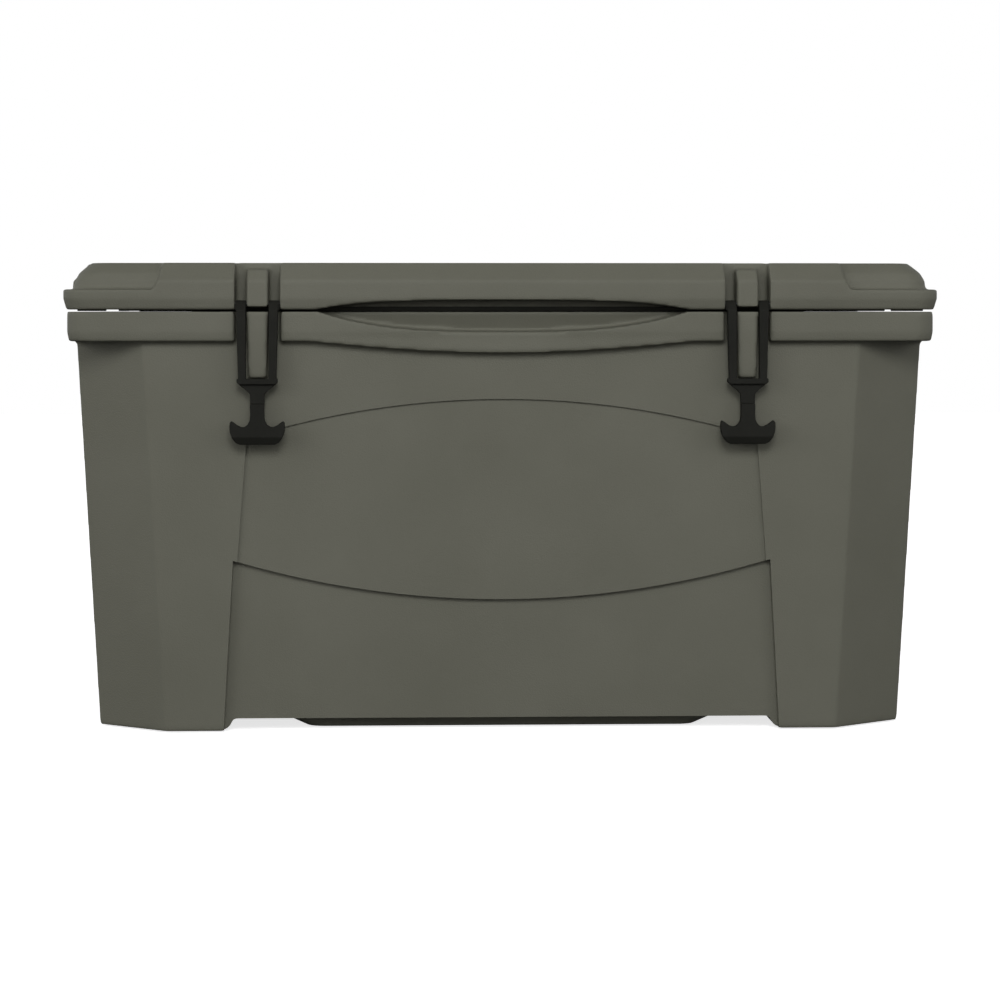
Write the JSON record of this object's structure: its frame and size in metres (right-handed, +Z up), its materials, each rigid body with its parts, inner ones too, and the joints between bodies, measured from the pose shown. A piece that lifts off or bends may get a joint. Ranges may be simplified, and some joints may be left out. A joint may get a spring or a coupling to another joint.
{
  "type": "cooler",
  "caption": "Hard-sided insulated cooler with a hinged lid, rubber pull latches, moulded hand holds, corner feet and a screw-out drain plug.",
  "frame": {"origin": "bottom centre of the whole object, on the ground under its feet", "axes": "+X along its length to the right, +Y from front to back, +Z up"},
  "size_m": [0.824, 0.483, 0.442],
  "materials": {
    "olive_plastic": "matte",
    "insulating_foam": "matte",
    "black_rubber": "matte",
    "stainless_steel": "satin",
    "black_plastic": "satin"
  },
  "bodies": {
    "tub": {"tub_shell": "olive_plastic", "tub_foam": "insulating_foam", "tub_fill_plug_left": "black_plastic", "tub_fill_plug_right": "black_plastic", "foot_pad_front_left": "black_rubber", "foot_pad_front_right": "black_rubber", "foot_pad_rear_left": "black_rubber", "foot_pad_rear_right": "black_rubber", "foot_screw_front_left": "stainless_steel", "foot_screw_front_right": "stainless_steel", "foot_screw_rear_left": "stainless_steel", "foot_screw_rear_right": "stainless_steel", "drain_fitting": "black_plastic", "drain_fitting_seal": "black_rubber", "drain_nut": "black_plastic", "hinge_rod": "stainless_steel", "hinge_rod_cap_left": "black_plastic", "hinge_rod_cap_right": "black_plastic"},
    "lid": {"lid_shell": "olive_plastic", "lid_foam": "insulating_foam", "lid_fill_plug_left": "black_plastic", "lid_fill_plug_right": "black_plastic", "lid_gasket": "black_rubber", "latch_pin_left": "stainless_steel", "latch_pin_right": "stainless_steel"},
    "latch_left": {"latch_left": "black_rubber"},
    "latch_right": {"latch_right": "black_rubber"},
    "drain_seal": {"drain_plug_seal": "black_rubber"},
    "drain_plug": {"drain_plug": "black_plastic"}
  },
  "joints": [
    {"name": "lid_hinge", "type": "hinge", "parent": "tub", "child": "lid", "pos_m": [0, 0.2305, 0.3976], "axis": [-1, 0, 0], "range_deg": [0, 100], "deforming": ["latch_left", "latch_right"]},
    {"name": "latch_left_hinge", "type": "hinge", "parent": "lid", "child": "latch_left", "pos_m": [-0.2295, -0.2325, 0.4034], "axis": [-1, 0, 0], "range_deg": [0, 120]},
    {"name": "latch_right_hinge", "type": "hinge", "parent": "lid", "child": "latch_right", "pos_m": [0.2295, -0.2325, 0.4034], "axis": [-1, 0, 0], "range_deg": [0, 120]},
    {"name": "drain_travel", "type": "slide", "parent": "tub", "child": "drain_seal", "axis": [1, 0, 0], "range_m": [0, 0.012]},
    {"name": "drain_turn", "type": "hinge", "parent": "drain_seal", "child": "drain_plug", "pos_m": [0.38, -0.0105, 0.0925], "axis": [1, 0, 0], "range_deg": [0, 1080]}
  ],
  "couplings": [
    {"joint": "drain_turn", "follows": "drain_travel", "rad_per_m": 1570}
  ]
}
